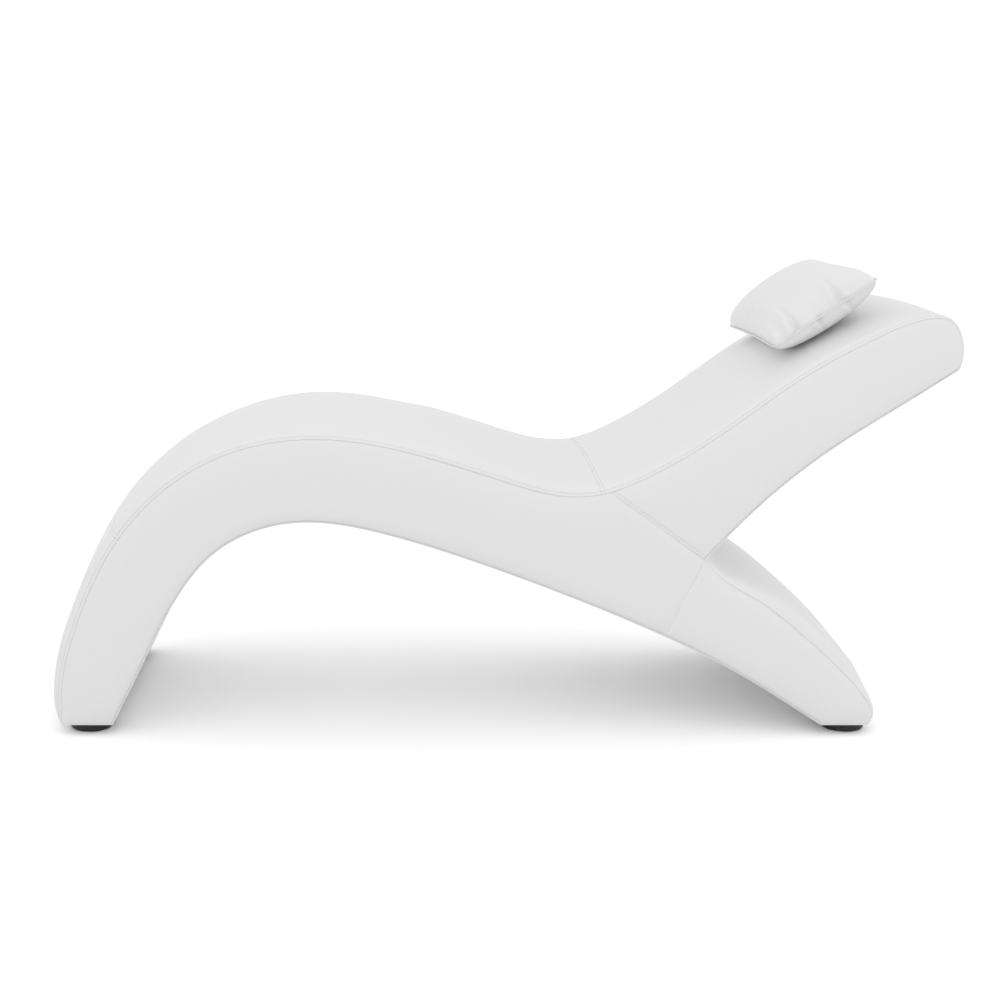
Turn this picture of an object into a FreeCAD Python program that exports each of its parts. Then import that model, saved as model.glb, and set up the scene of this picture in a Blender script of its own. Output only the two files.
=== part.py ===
"""Relaxation lounger: an upholstered Y-shaped body on two legs, with a loose head pillow.

Three plywood ribs and cross rails stand on two foot plates. Bent skins close the ribs, foam
lies on the skins, and sewn cover panels close the foam. X runs from the foot end to the head
end, Y across the width and Z up. The origin lies on the floor under the middle of the box.
"""
import FreeCAD, Part
import math
import os

from FreeCAD import Placement, Rotation, Vector

# Driving dimensions in millimetres. The points of the side outline lie on the sewn edge.
SIZES = {
    # seam width of the lounger, and the edges of the side outline, foot end first: a run is
    # measured from the toe, or from the end of the rear foot
    "seam_width": 650.0,
    "toe_x": -877.0,
    "ankle_run": 1.0, "ankle_z": 88.0,
    "shin_run": 35.0, "shin_z": 226.0,
    "knee_seam_run": 125.0, "knee_seam_z": 406.0,
    "kneecap_run": 303.0, "kneecap_z": 558.0,
    "knee_run": 512.0, "knee_z": 604.5,
    "thigh_x": -159.0, "thigh_z": 573.0,
    "lap_x": 22.0, "lap_z": 517.0,
    "seat_x": 130.0, "seat_z": 491.0,
    "waist_seam_x": 206.0, "waist_seam_z": 495.5,
    "hip_x": 295.0, "hip_z": 529.5,
    "waist_x": 415.0, "waist_z": 600.0,
    "head_seam_x": 599.0, "head_seam_z": 730.5,
    "nape_x": 745.0, "nape_z": 810.5,
    "brow_x": 817.0, "brow_z": 838.0,
    "temple_x": 872.0, "temple_z": 835.5,
    "head_x": 897.0, "head_z": 785.0,
    "chin_x": 893.0, "chin_z": 743.0,
    "neck_back_x": 811.0, "neck_back_z": 689.5,
    "shoulder_back_x": 657.0, "shoulder_back_z": 589.5,
    "waist_back_x": 525.0, "waist_back_z": 482.5,
    "notch_x": 409.0, "notch_z": 364.0,
    "rear_hip_x": 441.0, "rear_hip_z": 329.0,
    "rear_thigh_x": 520.0, "rear_thigh_z": 278.5,
    "rear_knee_x": 602.0, "rear_knee_z": 216.0,
    "rear_shin_run": -70.0, "rear_shin_z": 146.0,
    "heel_run": -4.0, "heel_z": 72.0,
    "heel_low_run": 7.5, "heel_low_z": 47.0,
    "rear_foot_x": 750.0,
    "arch_rear_run": -93.0,
    "arch_shin_x": 488.0, "arch_shin_z": 129.0,
    "arch_seat_x": 252.0, "arch_seat_z": 244.0,
    "arch_lap_x": -10.0, "arch_lap_z": 347.0,
    "arch_thigh_x": -222.0, "arch_thigh_z": 415.0,
    "arch_top_run": 457.0, "arch_top_z": 437.0,
    "arch_knee_run": 315.0, "arch_knee_z": 378.0,
    "arch_calf_run": 228.0, "arch_calf_z": 271.0,
    "arch_low_run": 154.0, "arch_low_z": 127.0,
    "arch_front_run": 101.0,
    # how far the padded faces stand out of the sewn edge
    "deck_rise": 16.0, "deck_crown": 18.0, "deck_round": 22.0,
    "head_rise": 6.0, "head_crown": 6.0,
    "toe_crown": 8.0,
    "rear_rise": 10.0, "rear_crown": 14.0,
    "heel_rise": 5.0, "heel_crown": 3.0,
    # layers, from the outside in
    "cover": 2.0,
    "deck_foam": 40.0, "head_foam": 23.0, "rear_foam": 22.0, "heel_foam": 12.0,
    "padding": 6.0, "side_foam": 12.0,
    "deck_skin": 5.0, "back_skin": 4.0,
    "rib": 18.0,
    # where the seam on the side meets the edge over the arch
    "rear_seam_x": 335.0,
    # feet
    "glide_diameter": 86.0, "glide_height": 22.0, "glide_round": 4.0,
    "glide_inset": 63.0, "front_glide_run": 50.0, "rear_glide_run": -36.0,
    "plate": 18.0,
    "bolt": 8.0, "bolt_head": 18.0, "bolt_head_height": 4.5, "bolt_recess": 3.0,
    "insert": 12.0, "insert_length": 14.0,
    # cross rails
    "rail_depth": 20.0, "rail_width": 60.0, "rail_web": 9.0,
    # play of rails in their slots and of edges cut to a curved neighbour
    "play": 0.2,
    # loose pillow
    "pillow_length": 242.0, "pillow_width": 480.0, "pillow_top": 66.0, "pillow_belly": 38.0,
    "pillow_pinch": 7.0, "pillow_cover": 1.5, "pillow_seam": 4.0,
    "pillow_x": 684.0, "pillow_tilt": 6.0, "pillow_gap": 0.3,
}

doc = FreeCAD.newDocument("Lounger")
sheet = doc.addObject("Spreadsheet::Sheet", "Dimensions")
for row, (alias, size) in enumerate(SIZES.items(), start=1):
    sheet.set(f"A{row}", alias.replace("_", " "))
    sheet.set(f"B{row}", str(size))
    sheet.setAlias(f"B{row}", alias)
doc.recompute()

nodes = {}


def dim(alias):
    """A driving dimension, read from the sheet."""
    return float(sheet.get(alias))


half = dim("seam_width") / 2
inner_half = half - dim("cover")
frame_half = inner_half - dim("side_foam")
glide_reach = half - dim("glide_inset")
floor_cover = dim("glide_height")
floor_plate = floor_cover + dim("cover")
floor_ribs = floor_plate + dim("plate")


# ---- the side outline ----------------------------------------------------------------------

REAR_FOOT = ["rear_shin", "heel", "heel_low", "arch_rear", "rear_glide"]


def x_of(name):
    """The place along X of a named point, or its run from the end of the foot it belongs to."""
    if name + "_x" in SIZES:
        return dim(name + "_x")
    return dim("rear_foot_x" if name in REAR_FOOT else "toe_x") + dim(name + "_run")


def point(name):
    """A point of the side outline, as X and Z in the profile plane."""
    return Vector(x_of(name), dim(name + "_z"), 0)


def on_floor(name):
    """A point of the side outline at the underside of the cover."""
    return Vector(x_of(name), floor_cover, 0)


class Run:
    """One smooth edge of the side outline, with the material on its right hand.

    The edge is lengthened past both ends, so that its layers still meet at the corners.
    """
    reach = 70.0

    def __init__(self, points, start=None, end=None):
        start = start or points[0] - points[1]
        end = end or points[-1] - points[-2]
        lead = points[0] + start.normalize() * self.reach
        tail = points[-1] + end.normalize() * self.reach
        self.points = [lead] + points + [tail]
        self.stations = [0.0]
        for last, this in zip(self.points, self.points[1:]):
            self.stations.append(self.stations[-1] + (this - last).Length)
        self.edge = self.through(self.points)
        self.inward = []
        for station in self.stations:
            along = self.edge.tangent(station)[0]
            self.inward.append(Vector(along.y, -along.x, 0))

    def through(self, points):
        """A spline through one point for each station."""
        curve = Part.BSplineCurve()
        curve.interpolate(Points=points, Parameters=self.stations)
        return curve

    def spread(self, amount):
        """One amount for each station, with the end ones held past both ends."""
        if isinstance(amount, (int, float)):
            return [amount] * len(self.points)
        return [amount[0]] + list(amount) + [amount[-1]]

    def layer(self, depth):
        """The edge moved inwards by one depth, or by a depth for each point."""
        depths = self.spread(depth)
        moved = [p + n * d for p, n, d in zip(self.points, self.inward, depths)]
        return self.through(moved)

    def field(self, amount):
        """Control points of the inward direction times an amount."""
        amounts = self.spread(amount)
        return self.through([n * a for n, a in zip(self.inward, amounts)]).getPoles()

    def station_at(self, x_position):
        """The station of the edge at one distance along X."""
        wall = Part.LineSegment(Vector(x_position, -500, 0), Vector(x_position, 2000, 0))
        return self.edge.parameter(meet(self.edge, wall))


def meet(one, other):
    """Where two curves of the profile plane cross."""
    return one.toShape().distToShape(other.toShape())[1][0][0]


def between(curve, start, end):
    """The stretch of a curve between two of its points, parted at the points it runs through."""
    first, last = curve.parameter(start), curve.parameter(end)
    if first > last:
        first, last, start, end = last, first, end, start
    knots = [knot for knot in curve.getKnots() if first + 1 < knot < last - 1]
    ends = [start] + [curve.value(knot) for knot in knots] + [end]
    stretches = []
    for index, (low, high) in enumerate(zip([first] + knots, knots + [last])):
        stretch = curve.copy()
        stretch.segment(low, high)
        stretch.setPole(1, ends[index])
        stretch.setPole(stretch.NbPoles, ends[index + 1])
        stretches.append(stretch)
    return stretches


def level(height, rear):
    """A level line under the rear or the front half of the lounger."""
    near, far = (300.0, 1500.0) if rear else (-1500.0, -300.0)
    return Part.LineSegment(Vector(near, height, 0), Vector(far, height, 0))


DECK = ["toe", "ankle", "shin", "knee_seam", "kneecap", "knee", "thigh", "lap", "seat", "waist_seam",
        "hip", "waist", "head_seam", "nape", "brow", "temple", "head", "chin"]
deck = Run([on_floor("toe")] + [point(name) for name in DECK[1:]], start=Vector(0, -1, 0))
back = Run([point(name) for name in (
    "chin", "neck_back", "shoulder_back", "waist_back", "notch")])
REAR = ["notch", "rear_hip", "rear_thigh", "rear_knee", "rear_shin", "heel", "heel_low",
        "rear_foot"]
rear = Run([point(name) for name in REAR[:-1]] + [on_floor("rear_foot")])
arch = Run([on_floor("arch_rear")] + [point(name) for name in (
    "arch_shin", "arch_seat", "arch_lap", "arch_thigh", "arch_top", "arch_knee",
    "arch_calf", "arch_low")] + [on_floor("arch_front")])


def along_deck(on_deck, at_head, at_toe=None):
    """One amount for each point of the deck, easing from the nape to the head end."""
    ease = {"nape": 0.4, "brow": 0.85, "temple": 1.0, "head": 1.0, "chin": 1.0}
    amounts = []
    for name in DECK:
        share = ease.get(name, 0.0)
        amounts.append((1 - share) * on_deck + share * at_head)
    if at_toe is not None:
        amounts[0] = at_toe
    return amounts


def along_rear(on_top, at_heel):
    """One amount for each point of the rear leg's top, easing from the shin to the heel."""
    ease = {"rear_shin": 0.2, "heel": 0.7, "heel_low": 1.0, "rear_foot": 1.0}
    return [(1 - ease.get(name, 0)) * on_top + ease.get(name, 0) * at_heel for name in REAR]


foam_floor = along_deck(dim("deck_foam"), dim("head_foam"))
skin_floor = [depth + dim("deck_skin") for depth in foam_floor]
pad_depth = dim("cover") + dim("padding")
frame_depth = pad_depth + dim("back_skin")
rear_foam_floor = along_rear(dim("rear_foam"), dim("heel_foam"))
rear_skin_floor = [depth + dim("back_skin") for depth in rear_foam_floor]


def outline(on_deck, on_back, on_rear, on_arch, floor, mitre=None):
    """A closed side outline at the given depths under the sewn edge, standing on a floor.

    A mitre is a line through the notch, on which the depths of back and rear leg may differ.
    """
    top, behind = deck.layer(on_deck), back.layer(on_back)
    leg, under = rear.layer(on_rear), arch.layer(on_arch)
    chin = meet(top, behind)
    notch = below = meet(behind, mitre or leg)
    heel = meet(leg, level(floor, True))
    arch_rear = meet(under, level(floor, True))
    arch_front = meet(under, level(floor, False))
    toe = meet(top, level(floor, False))
    step = []
    if mitre:
        below = meet(leg, mitre)
        step = [Part.LineSegment(notch, below)]
    return (between(top, toe, chin) + between(behind, chin, notch) + step
            + between(leg, below, heel) + [Part.LineSegment(heel, arch_rear)]
            + between(under, arch_rear, arch_front) + [Part.LineSegment(arch_front, toe)])


def strip(run, outer, inner, start_line, end_line):
    """A band between two depths of one edge, cut off by a line at each end."""
    far, near = run.layer(outer), run.layer(inner)
    a, b = meet(far, start_line), meet(far, end_line)
    c, d = meet(near, end_line), meet(near, start_line)
    return (between(far, a, b) + [Part.LineSegment(b, c)] + between(near, c, d)
            + [Part.LineSegment(d, a)])


def seam_line(name):
    """The line under a cross seam of the deck, square to the deck."""
    index = DECK.index(name) + 1
    spot, inward = deck.points[index], deck.inward[index]
    return Part.LineSegment(spot - inward * 5, spot + inward * (dim("deck_foam") + 20))


# ---- ways of making a sub-part ----------------------------------------------------------------

def keep(label, thing):
    """Names a sub-part and puts it among those that are written out."""
    thing.Label = label
    nodes[label] = thing
    return thing


def profile_body(label, edges, thickness, centre="0"):
    """A body padded from a closed outline in the side plane, centred at a distance along Y."""
    body = doc.addObject("PartDesign::Body", label)
    plane = [f for f in body.Origin.OriginFeatures if f.Role == "XZ_Plane"][0]
    sketch = body.newObject("Sketcher::SketchObject", label + "_outline")
    sketch.AttachmentSupport = [(plane, "")]
    sketch.MapMode = "FlatFace"
    sketch.setExpression("AttachmentOffset.Base.z", f"-({centre})")
    sketch.addGeometry(edges, False)
    pad = body.newObject("PartDesign::Pad", label + "_pad")
    pad.Profile = sketch
    pad.Midplane = True
    pad.setExpression("Length", thickness)
    doc.recompute()
    return keep(label, body)


CROWN_FLAT = 0.2  # share of the half width over which the crown is flat


def section():
    """The padded section across the width: place, share of the rise and share of the crown."""
    turn = dim("deck_round")
    flat = half - turn
    side = []
    for degrees in (0, 35, 65):
        angle = math.radians(degrees)
        side.append((half - turn * (1 - math.cos(angle)), math.sin(angle), 0.0))
    crown = [(flat * share, 1.0, 1 - share ** 2) for share in (1.0, 0.6, CROWN_FLAT)]
    near = [(-y, rise, hump) for y, rise, hump in side + crown]
    return near + [(y, rise, hump) for y, rise, hump in reversed(side + crown)]


def ruled(along, low, high, first, last):
    """A surface between two columns of control points, over a stretch of a curve like them."""
    surface = Part.BSplineSurface()
    surface.buildFromPolesMultsKnots([list(pair) for pair in zip(low, high)],
                                     along.getMultiplicities(), [2, 2], along.getKnots(),
                                     [0.0, 1.0], False, False, along.Degree, 1)
    surface.segment(first, last, 0.0, 1.0)
    return surface


def closed(faces):
    """A solid from faces that close a space."""
    sewn = Part.makeShell(faces)
    sewn.sewShape()
    solid = Part.makeSolid(Part.Shell(sewn.Faces))
    if solid.Volume < 0:
        solid = Part.makeSolid(Part.Shell([face.reversed() for face in sewn.Faces]))
    return solid


def padded_cap(run, breaks, rise, crown):
    """A cover panel with its wadding: flat behind, rounded at its sides and crowned.

    It runs from the first to the last of some points of an edge, its lead being point 0, with
    its faces parted at those between. Rise and crown are given for each named point.
    """
    rows = run.layer(0.0).getPoles()
    rises, crowns = run.field(list(rise)), run.field(list(crown))
    stations = [run.stations[index] for index in breaks]
    columns = []
    for y, lift, hump in section():
        column = []
        for row, up, over in zip(rows, rises, crowns):
            spot = row - up * lift - over * hump
            column.append(Vector(spot.x, y, spot.y))
        columns.append(column)
    faces = []
    for start, end in zip(stations, stations[1:]):
        strips = [ruled(run.edge, low, high, start, end)
                  for low, high in zip(columns, columns[1:] + columns[:1])]
        faces += [surface.toShape() for surface in strips]
        for station in (start, end):
            if station in (stations[0], stations[-1]):
                corners = [surface.value(station, 0.0) for surface in strips]
                faces.append(Part.Face(Part.makePolygon(corners + corners[:1])))
    return closed(faces)


def feature(label, shape):
    """A sub-part whose shape is set from surfaces."""
    thing = doc.addObject("Part::Feature", label)
    thing.Shape = shape
    return keep(label, thing)


# ---- plywood frame -----------------------------------------------------------------------------

RIB = "Dimensions.rib"
INNER_WIDTH = "(Dimensions.seam_width - 2 * Dimensions.cover)"
FRAME_WIDTH = f"({INNER_WIDTH} - 2 * Dimensions.side_foam)"
RIB_CENTRE = f"({FRAME_WIDTH} - Dimensions.rib) / 2"

front_ground, rear_ground = level(floor_ribs, False), level(floor_ribs, True)
rib_outline = outline(skin_floor, frame_depth, rear_skin_floor, frame_depth, floor_ribs)


def rail_place(run, share, depth):
    """Where a rail lies: under the point at a share of an edge's length, and along the edge."""
    first, last = run.stations[1], run.stations[-2]
    station = first + share * (last - first)
    along = run.edge.tangent(station)[0]
    inward = Vector(along.y, -along.x, 0)
    drop = depth + dim("rail_web") + dim("rail_depth") / 2
    return run.edge.value(station) + inward * drop, along, inward


def rectangle(place, play):
    """The outline of a rail's end, or of its slot with some play all round."""
    centre, along, inward = place
    corners = []
    for one, other in ((-1, -1), (1, -1), (1, 1), (-1, 1)):
        corners.append(centre + along * (one * (dim("rail_width") / 2 + play))
                       + inward * (other * (dim("rail_depth") / 2 + play)))
    return [Part.LineSegment(a, b) for a, b in zip(corners, corners[1:] + corners[:1])]


under_deck = dim("deck_foam") + dim("deck_skin")
rails = {
    "shin_rail": rail_place(deck, 0.10, under_deck),
    "calf_rail": rail_place(deck, 0.22, under_deck),
    "knee_rail": rail_place(deck, 0.34, under_deck),
    "thigh_rail": rail_place(deck, 0.46, under_deck),
    "seat_rail": rail_place(deck, 0.58, under_deck),
    "waist_rail": rail_place(deck, 0.685, under_deck),
    "back_rail": rail_place(deck, 0.79, under_deck),
    "head_rail": rail_place(deck, 0.89, under_deck),
    "rear_shin_rail": rail_place(arch, 0.13, frame_depth),
    "seat_arch_rail": rail_place(arch, 0.36, frame_depth),
}
slots = [edge for place in rails.values() for edge in rectangle(place, dim("play"))]


def pocket(body, role, name, loops, offset, length):
    """A pocket in a body, cut both ways from a plane at an offset from an origin plane."""
    plane = [f for f in body.Origin.OriginFeatures if f.Role == role][0]
    sketch = body.newObject("Sketcher::SketchObject", name + "_outline")
    sketch.AttachmentSupport = [(plane, "")]
    sketch.MapMode = "FlatFace"
    sketch.setExpression("AttachmentOffset.Base.z", offset)
    sketch.addGeometry(loops, False)
    cut = body.newObject("PartDesign::Pocket", name)
    cut.Profile = sketch
    cut.Midplane = True
    cut.setExpression("Length", length)
    doc.recompute()
    body.Tip = cut


for label, centre in (("side_rib_near", f"-({RIB_CENTRE})"), ("centre_rib", "0"),
                      ("side_rib_far", f"{RIB_CENTRE}")):
    rib = profile_body(label, rib_outline, RIB, centre)
    pocket(rib, "XZ_Plane", label + "_slots", slots, f"-({centre})", f"2 * {RIB}")
for label, place in rails.items():
    profile_body(label, rectangle(place, 0.0), FRAME_WIDTH)


def foot_outline(rear_foot, bottom, top):
    """The side outline of a layer under a foot, from the deck or the rear leg to the arch."""
    low, high = level(bottom, rear_foot), level(top, rear_foot)
    outer = (rear if rear_foot else deck).layer(0.0)
    inner = arch.layer(dim("cover"))
    a, b, c, d = meet(outer, low), meet(outer, high), meet(inner, high), meet(inner, low)
    return (between(outer, a, b) + [Part.LineSegment(b, c)] + between(inner, c, d)
            + [Part.LineSegment(d, a)])


def bolt_circles(alias, *glides):
    """Circles of a named diameter around the bolts of some glides, in the floor plane."""
    return [Part.Circle(Vector(x_of(glide), side * glide_reach, 0), Vector(0, 0, 1),
                        dim(alias) / 2) for glide in glides for side in (-1, 1)]


FOOT_HEIGHT = "Dimensions.glide_height + Dimensions.cover + Dimensions.plate"
for foot, rear_foot, glide in (("front", False, "front_glide"), ("rear", True, "rear_glide")):
    layers = (
        (f"{foot}_foot_plate", floor_plate, floor_ribs, FRAME_WIDTH, "insert"),
        (f"{foot}_foot_cover", floor_cover, floor_plate, INNER_WIDTH, "bolt"),
    )
    for label, bottom, top, width, hole in layers:
        body = profile_body(label, foot_outline(rear_foot, bottom, top), width)
        pocket(body, "XY_Plane", label + "_bolt_holes", bolt_circles(hole, glide), "0",
               f"2 * ({FOOT_HEIGHT} + 1)")

# ---- glides and their bolts --------------------------------------------------------------------


def turned(label, corners, copies):
    """A body turned from the corners of a half section, as distance from its axis and height."""
    body = doc.addObject("PartDesign::Body", label)
    plane = [f for f in body.Origin.OriginFeatures if f.Role == "XZ_Plane"][0]
    axis = [f for f in body.Origin.OriginFeatures if f.Role == "Z_Axis"][0]
    sketch = body.newObject("Sketcher::SketchObject", label + "_section")
    sketch.AttachmentSupport = [(plane, "")]
    sketch.MapMode = "FlatFace"
    spots = [Vector(x, z, 0) for x, z in corners]
    sketch.addGeometry([Part.LineSegment(a, b) for a, b in zip(spots, spots[1:] + spots[:1])],
                       False)
    turn = body.newObject("PartDesign::Revolution", label + "_turn")
    turn.Profile = sketch
    turn.ReferenceAxis = (axis, [""])
    turn.Angle = 360.0
    doc.recompute()
    if len(copies) == 1:
        body.Placement.Base = copies[0]
        return keep(label, body)
    links = []
    for index, spot in enumerate(copies):
        link = doc.addObject("App::Link", f"{label}_{index}")
        link.LinkedObject = body
        link.Placement.Base = spot
        links.append(link)
    group = doc.addObject("Part::Compound", label + "_set")
    group.Links = links
    doc.recompute()
    return keep(label, group)


glide_spots = {}
for foot in ("front", "rear"):
    for side_name, side in (("near", -1), ("far", 1)):
        glide_spots[f"{foot}_glide_{side_name}"] = Vector(x_of(foot + "_glide"),
                                                          side * glide_reach, 0)
glide_radius, glide_top, ease = dim("glide_diameter") / 2, dim("glide_height"), dim("glide_round")
bolt_radius, head_radius = dim("bolt") / 2, dim("bolt_head") / 2
head_low = dim("bolt_recess")
head_top = head_low + dim("bolt_head_height")
glide_section = [(bolt_radius, head_top), (head_radius + 0.5, head_top), (head_radius + 0.5, 0),
                 (glide_radius - ease, 0), (glide_radius, ease), (glide_radius, glide_top),
                 (bolt_radius, glide_top)]
for label, spot in glide_spots.items():
    turned(label, glide_section, [spot])

insert_low = floor_ribs - dim("insert_length")
turned("glide_bolts", [(0, head_low), (head_radius, head_low), (head_radius, head_top),
                       (bolt_radius, head_top), (bolt_radius, floor_ribs - 2),
                       (0, floor_ribs - 2)], list(glide_spots.values()))
turned("threaded_inserts", [(bolt_radius, insert_low), (dim("insert") / 2, insert_low),
                            (dim("insert") / 2, floor_ribs), (bolt_radius, floor_ribs)],
       list(glide_spots.values()))

# ---- bent skins ----------------------------------------------------------------------------------

notch_line = Part.LineSegment(point("notch"), meet(back.layer(frame_depth),
                                                   rear.layer(rear_skin_floor)))
notch_reach = notch_line.EndPoint - notch_line.StartPoint
notch_line = Part.LineSegment(notch_line.StartPoint - notch_reach * 0.5,
                              notch_line.EndPoint + notch_reach * 0.5)
knee_line, waist_line, head_line = (seam_line(n) for n in ("knee_seam", "waist_seam",
                                                            "head_seam"))
chin_line = back.layer(dim("cover") + dim("play"))
back_line = deck.layer([depth + dim("play") for depth in skin_floor])

skins = {
    "leg_skin": (deck, foam_floor, skin_floor, front_ground, knee_line),
    "seat_skin": (deck, foam_floor, skin_floor, knee_line, waist_line),
    "back_skin": (deck, foam_floor, skin_floor, waist_line, chin_line),
    "back_rear_skin": (back, pad_depth, frame_depth, back_line, notch_line),
    "rear_leg_skin": (rear, rear_foam_floor, rear_skin_floor, notch_line, rear_ground),
    "arch_skin": (arch, pad_depth, frame_depth, rear_ground, front_ground),
}
for label, band in skins.items():
    profile_body(label, strip(*band), FRAME_WIDTH)

# ---- foam and padding ------------------------------------------------------------------------------

pads = {
    "leg_foam": (deck, 0.0, foam_floor, front_ground, knee_line),
    "seat_foam": (deck, 0.0, foam_floor, knee_line, waist_line),
    "back_foam": (deck, 0.0, foam_floor, waist_line, head_line),
    "head_foam": (deck, 0.0, foam_floor, head_line, chin_line),
    "rear_leg_foam": (rear, 0.0, rear_foam_floor, notch_line, rear_ground),
}
for label, band in pads.items():
    profile_body(label, strip(*band), INNER_WIDTH)
profile_body("back_rear_padding", strip(back, dim("cover"), pad_depth, back_line, notch_line),
             FRAME_WIDTH)
profile_body("arch_padding", strip(arch, dim("cover"), pad_depth, rear_ground, front_ground),
             FRAME_WIDTH)

side_outline = outline(foam_floor, dim("cover"), rear_foam_floor, dim("cover"), floor_plate,
                       notch_line)
SIDE_FOAM_CENTRE = f"({INNER_WIDTH} - Dimensions.side_foam) / 2"
for label, side in (("side_foam_near", -1), ("side_foam_far", 1)):
    profile_body(label, side_outline, "Dimensions.side_foam", f"{side} * {SIDE_FOAM_CENTRE}")

# ---- covers ----------------------------------------------------------------------------------------

rise = along_deck(dim("deck_rise"), dim("head_rise"))
crown = along_deck(dim("deck_crown"), dim("head_crown"), dim("toe_crown"))
under_floor = Part.makeBox(4000, 2000, 500, Vector(-2000, -1000, floor_cover - 500))
caps = {
    "leg_cover": ["lead", "toe", "ankle", "shin", "knee_seam"],
    "seat_cover": ["knee_seam", "thigh", "waist_seam"],
    "back_cover": ["waist_seam", "head_seam"],
    "head_cover": ["head_seam", "nape", "brow", "chin"],
}
for label, names in caps.items():
    breaks = [(["lead"] + DECK).index(name) for name in names]
    feature(label, padded_cap(deck, breaks, rise, crown).cut(under_floor))

rear_rise = along_rear(dim("rear_rise"), dim("heel_rise"))
rear_crown = along_rear(dim("rear_crown"), dim("heel_crown"))
for amounts in (rear_rise, rear_crown):
    amounts[0] *= 0.3
    amounts[1] *= 0.7
rear_cap = padded_cap(rear, range(1, len(REAR) + 2), rear_rise, rear_crown)
feature("rear_leg_cover", rear_cap.cut(under_floor))
profile_body("back_rear_cover", strip(back, 0.0, dim("cover"), deck.layer(0.0), notch_line),
             INNER_WIDTH)
profile_body("arch_cover", strip(arch, 0.0, dim("cover"), level(floor_cover, True),
                                 level(floor_cover, False)), INNER_WIDTH)

# The side covers meet at a seam from the waist to the notch and at one from there to the arch.
deck_side, back_side = deck.layer(0.0), back.layer(0.0)
rear_side, arch_side = rear.layer(0.0), arch.layer(0.0)
chin, notch = meet(deck_side, back_side), meet(back_side, rear_side)
waist = point("waist_seam")
toe = meet(deck_side, level(floor_cover, False))
arch_front = meet(arch_side, level(floor_cover, False))
arch_rear = meet(arch_side, level(floor_cover, True))
heel = meet(rear_side, level(floor_cover, True))
rear_seam = arch_side.value(arch.station_at(dim("rear_seam_x")))
waist_to_notch = Part.LineSegment(waist, notch)
notch_to_arch = Part.LineSegment(notch, rear_seam)
side_panels = {
    "front": between(deck_side, toe, waist) + [waist_to_notch, notch_to_arch]
             + between(arch_side, rear_seam, arch_front) + [Part.LineSegment(arch_front, toe)],
    "back": between(deck_side, waist, chin) + between(back_side, chin, notch)
            + [waist_to_notch],
    "rear": between(rear_side, notch, heel) + [Part.LineSegment(heel, arch_rear)]
            + between(arch_side, arch_rear, rear_seam) + [notch_to_arch],
}
SIDE_COVER_CENTRE = "(Dimensions.seam_width - Dimensions.cover) / 2"
for part_name, edges in side_panels.items():
    for side_name, side in (("near", -1), ("far", 1)):
        profile_body(f"side_cover_{side_name}_{part_name}", edges, "Dimensions.cover",
                     f"{side} * {SIDE_COVER_CENTRE}")

# ---- loose pillow ----------------------------------------------------------------------------------

# Shares of the half length and half width, each with its share of the pillow's height.
LONG_SHARES = ((-1.0, 0.0), (-0.94, 0.5), (-0.74, 0.86), (-0.4, 0.99), (0.0, 1.0),
               (0.4, 0.99), (0.74, 0.86), (0.94, 0.5), (1.0, 0.0))
WIDE_SHARES = ((-1.0, 0.0), (-0.94, 0.52), (-0.72, 0.9), (-0.3, 1.0),
               (0.3, 1.0), (0.72, 0.9), (0.94, 0.52), (1.0, 0.0))


def pillow_column(length, width, height, wide, swell):
    """A row of points over the pillow from end to end, its seam pulled in between corners."""
    pinch = dim("pillow_pinch")
    spots = []
    for along, share in LONG_SHARES:
        reach = length / 2 - pinch * (1 - wide ** 2)
        spread = width / 2 - pinch * (1 - along ** 2)
        spots.append(Vector(along * reach, wide * spread, height * share * swell))
    return spots


def facets(columns, upwards):
    """Two triangles for each cell between the rows of points, all facing up or all down."""
    faces = []
    for low, high in zip(columns, columns[1:]):
        for a, b, c, d in zip(low, low[1:], high[1:], high):
            for corners in ([a, b, c, a], [a, c, d, a]):
                faces.append(Part.Face(Part.makePolygon(corners[::1 if upwards else -1])))
    return faces


def seam_loop(columns):
    """The points of the seam all round some rows of points, back to the first."""
    return (columns[0] + [column[-1] for column in columns[1:]] + columns[-1][-2::-1]
            + [column[0] for column in columns[-2::-1]])


def seam_ring(outside, inside, upwards):
    """The flat ring between two seams, all facing up or all down."""
    outer, inner = seam_loop(outside), seam_loop(inside)
    faces = []
    for a, b, c, d in zip(outer, outer[1:], inner[1:], inner):
        faces.append(Part.Face(Part.makePolygon([a, b, c, d, a][::1 if upwards else -1])))
    return faces


def half_pillow(length, width, height):
    """Rows of points over half a pillow, from one side seam to the other."""
    return [pillow_column(length, width, height, wide, swell) for wide, swell in WIDE_SHARES]


def pillow_place():
    """Where the pillow's middle lies, and its turn: resting on the crown of the deck."""
    station = deck.station_at(dim("pillow_x"))
    along = deck.edge.tangent(station)[0]
    out = Vector(-along.y, along.x, 0)
    slope = math.degrees(math.atan2(along.y, along.x)) + dim("pillow_tilt")
    bed = deck.layer([-(r + c * (1 - CROWN_FLAT ** 2)) for r, c in zip(rise, crown)]).toShape()
    lowest = pillow_column(dim("pillow_length"), dim("pillow_width"), -dim("pillow_belly"), 0, 1)
    under = Part.makePolygon([Vector(spot.x, spot.z, 0) for spot in lowest])
    turn = Rotation(Vector(0, 0, 1), slope)
    middle = deck.edge.value(station) + out * 2 * dim("pillow_belly")
    for _ in range(6):
        under.Placement = Placement(middle, turn)
        middle = middle - out * (bed.distToShape(under)[0] - dim("pillow_gap"))
    return Placement(Vector(middle.x, 0, middle.y), Rotation(Vector(0, -1, 0), slope))


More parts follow.
